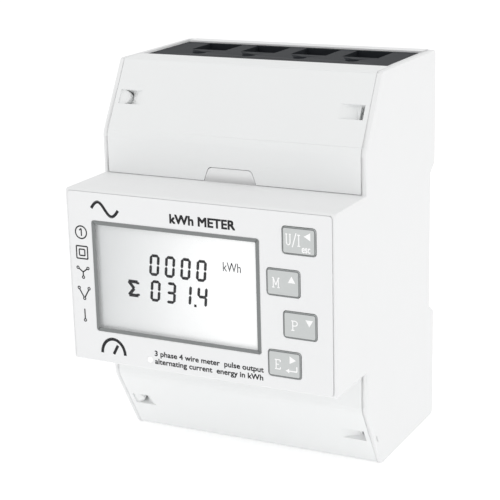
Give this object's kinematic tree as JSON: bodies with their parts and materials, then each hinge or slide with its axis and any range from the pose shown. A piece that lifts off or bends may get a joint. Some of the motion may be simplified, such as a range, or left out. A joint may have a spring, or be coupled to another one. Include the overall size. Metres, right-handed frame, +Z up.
{
  "type": "smart electric meter",
  "caption": "Three-phase electricity meter for a 35 mm rail, with a stepped nose, display window, push keys, removable terminal covers, clamp terminals and a sliding rail clip.",
  "frame": {"origin": "centre of the face that seats on the rail", "axes": "+X to the right of the display, +Y to the wall behind the rail, +Z up; the keys face -Y"},
  "size_m": [0.072, 0.066, 0.1],
  "materials": {
    "shell_white": "fine moulded texture, white",
    "cover_white": "smooth moulded, cool white",
    "faceplate_white": "satin white panel",
    "lens_clear": "clear window with a grey printed border",
    "lcd_glass": "pale grey liquid crystal cell",
    "diffuser_white": "milky diffuser",
    "tinned_wire": "tinned",
    "board_green": "solder mask",
    "switch_black": "moulded black",
    "transformer_tape": "wound coil under yellow tape",
    "capacitor_sleeve": "shrunk sleeve",
    "core_epoxy": "blue epoxy coating",
    "block_charcoal": "charcoal thermoset",
    "zinc_steel": "zinc plated",
    "cage_steel": "nickel plated",
    "spring_steel": "drawn wire",
    "busbar_copper": "tinned copper bar",
    "clip_grey": "moulded grey",
    "key_grey": "satin grey cap with white legend"
  },
  "bodies": {
    "case": {"housing": "shell_white", "rear_cover": "shell_white", "faceplate": "faceplate_white", "display_lens": "lens_clear", "lcd_panel": "lcd_glass", "lcd_backlight": "diffuser_white", "lcd_holder": "diffuser_white", "lcd_pins": "tinned_wire", "display_board": "board_green", "switch_bodies": "switch_black", "pulse_led": "diffuser_white", "pulse_light_guide": "diffuser_white", "main_board": "board_green", "board_header": "switch_black", "supply_transformer": "transformer_tape", "supply_capacitors": "capacitor_sleeve", "upper_terminal_block": "block_charcoal", "lower_terminal_block": "block_charcoal", "aux_terminal_block": "block_charcoal", "aux_terminal_screws": "zinc_steel", "clip_spring": "spring_steel", "housing_screws": "zinc_steel", "board_screws": "zinc_steel", "busbar_1": "busbar_copper", "busbar_2": "busbar_copper", "busbar_3": "busbar_copper", "busbar_4": "busbar_copper", "current_transformer_1": "core_epoxy", "current_transformer_2": "core_epoxy", "current_transformer_3": "core_epoxy"},
    "key_voltage_current": {"key_voltage_current": "key_grey", "switch_plunger_1": "switch_black"},
    "key_demand": {"key_demand": "key_grey", "switch_plunger_2": "switch_black"},
    "key_power": {"key_power": "key_grey", "switch_plunger_3": "switch_black"},
    "key_energy": {"key_energy": "key_grey", "switch_plunger_4": "switch_black"},
    "upper_cover": {"upper_terminal_cover": "cover_white"},
    "lower_cover": {"lower_terminal_cover": "cover_white"},
    "rail_clip": {"din_clip": "clip_grey"},
    "clamp_screw_1": {"terminal_screw_1": "zinc_steel"},
    "clamp_1": {"clamp_cage_1": "cage_steel"},
    "clamp_screw_2": {"terminal_screw_2": "zinc_steel"},
    "clamp_2": {"clamp_cage_2": "cage_steel"},
    "clamp_screw_3": {"terminal_screw_3": "zinc_steel"},
    "clamp_3": {"clamp_cage_3": "cage_steel"},
    "clamp_screw_4": {"terminal_screw_4": "zinc_steel"},
    "clamp_4": {"clamp_cage_4": "cage_steel"},
    "clamp_screw_5": {"terminal_screw_5": "zinc_steel"},
    "clamp_5": {"clamp_cage_5": "cage_steel"},
    "clamp_screw_6": {"terminal_screw_6": "zinc_steel"},
    "clamp_6": {"clamp_cage_6": "cage_steel"},
    "clamp_screw_7": {"terminal_screw_7": "zinc_steel"},
    "clamp_7": {"clamp_cage_7": "cage_steel"},
    "clamp_screw_8": {"terminal_screw_8": "zinc_steel"},
    "clamp_8": {"clamp_cage_8": "cage_steel"}
  },
  "joints": [
    {"name": "key_voltage_current_press", "type": "slide", "parent": "case", "child": "key_voltage_current", "axis": [0, 1, 0], "range_m": [0, 0.0005], "stiffness_N_per_m": 900, "springref_m": -0.001},
    {"name": "key_demand_press", "type": "slide", "parent": "case", "child": "key_demand", "axis": [0, 1, 0], "range_m": [0, 0.0005], "stiffness_N_per_m": 900, "springref_m": -0.001},
    {"name": "key_power_press", "type": "slide", "parent": "case", "child": "key_power", "axis": [0, 1, 0], "range_m": [0, 0.0005], "stiffness_N_per_m": 900, "springref_m": -0.001},
    {"name": "key_energy_press", "type": "slide", "parent": "case", "child": "key_energy", "axis": [0, 1, 0], "range_m": [0, 0.0005], "stiffness_N_per_m": 900, "springref_m": -0.001},
    {"name": "upper_cover_pull", "type": "slide", "parent": "case", "child": "upper_cover", "axis": [0, -1, 0], "range_m": [0, 0.04]},
    {"name": "lower_cover_pull", "type": "slide", "parent": "case", "child": "lower_cover", "axis": [0, -1, 0], "range_m": [0, 0.04]},
    {"name": "rail_clip_slide", "type": "slide", "parent": "case", "child": "rail_clip", "axis": [0, 0, -1], "range_m": [0, 0.005], "stiffness_N_per_m": 600, "springref_m": -0.002, "deforming": ["clip_spring"]},
    {"name": "clamp_screw_1_turn", "type": "hinge", "parent": "case", "child": "clamp_screw_1", "pos_m": [-0.0216, -0.02, 0.04], "axis": [0, 1, 0], "range_deg": [0, 2521]},
    {"name": "clamp_1_lift", "type": "slide", "parent": "case", "child": "clamp_1", "axis": [0, -1, 0], "range_m": [0, 0.007]},
    {"name": "clamp_screw_2_turn", "type": "hinge", "parent": "case", "child": "clamp_screw_2", "pos_m": [-0.0216, -0.02, -0.04], "axis": [0, 1, 0], "range_deg": [0, 2521]},
    {"name": "clamp_2_lift", "type": "slide", "parent": "case", "child": "clamp_2", "axis": [0, -1, 0], "range_m": [0, 0.007]},
    {"name": "clamp_screw_3_turn", "type": "hinge", "parent": "case", "child": "clamp_screw_3", "pos_m": [-0.0072, -0.02, 0.04], "axis": [0, 1, 0], "range_deg": [0, 2521]},
    {"name": "clamp_3_lift", "type": "slide", "parent": "case", "child": "clamp_3", "axis": [0, -1, 0], "range_m": [0, 0.007]},
    {"name": "clamp_screw_4_turn", "type": "hinge", "parent": "case", "child": "clamp_screw_4", "pos_m": [-0.0072, -0.02, -0.04], "axis": [0, 1, 0], "range_deg": [0, 2521]},
    {"name": "clamp_4_lift", "type": "slide", "parent": "case", "child": "clamp_4", "axis": [0, -1, 0], "range_m": [0, 0.007]},
    {"name": "clamp_screw_5_turn", "type": "hinge", "parent": "case", "child": "clamp_screw_5", "pos_m": [0.0072, -0.02, 0.04], "axis": [0, 1, 0], "range_deg": [0, 2521]},
    {"name": "clamp_5_lift", "type": "slide", "parent": "case", "child": "clamp_5", "axis": [0, -1, 0], "range_m": [0, 0.007]},
    {"name": "clamp_screw_6_turn", "type": "hinge", "parent": "case", "child": "clamp_screw_6", "pos_m": [0.0072, -0.02, -0.04], "axis": [0, 1, 0], "range_deg": [0, 2521]},
    {"name": "clamp_6_lift", "type": "slide", "parent": "case", "child": "clamp_6", "axis": [0, -1, 0], "range_m": [0, 0.007]},
    {"name": "clamp_screw_7_turn", "type": "hinge", "parent": "case", "child": "clamp_screw_7", "pos_m": [0.0216, -0.02, 0.04], "axis": [0, 1, 0], "range_deg": [0, 2521]},
    {"name": "clamp_7_lift", "type": "slide", "parent": "case", "child": "clamp_7", "axis": [0, -1, 0], "range_m": [0, 0.007]},
    {"name": "clamp_screw_8_turn", "type": "hinge", "parent": "case", "child": "clamp_screw_8", "pos_m": [0.0216, -0.02, -0.04], "axis": [0, 1, 0], "range_deg": [0, 2521]},
    {"name": "clamp_8_lift", "type": "slide", "parent": "case", "child": "clamp_8", "axis": [0, -1, 0], "range_m": [0, 0.007]}
  ],
  "couplings": [
    {"joint": "clamp_screw_1_turn", "follows": "clamp_1_lift", "rad_per_m": 6283.2},
    {"joint": "clamp_screw_2_turn", "follows": "clamp_2_lift", "rad_per_m": 6283.2},
    {"joint": "clamp_screw_3_turn", "follows": "clamp_3_lift", "rad_per_m": 6283.2},
    {"joint": "clamp_screw_4_turn", "follows": "clamp_4_lift", "rad_per_m": 6283.2},
    {"joint": "clamp_screw_5_turn", "follows": "clamp_5_lift", "rad_per_m": 6283.2},
    {"joint": "clamp_screw_6_turn", "follows": "clamp_6_lift", "rad_per_m": 6283.2},
    {"joint": "clamp_screw_7_turn", "follows": "clamp_7_lift", "rad_per_m": 6283.2},
    {"joint": "clamp_screw_8_turn", "follows": "clamp_8_lift", "rad_per_m": 6283.2}
  ]
}
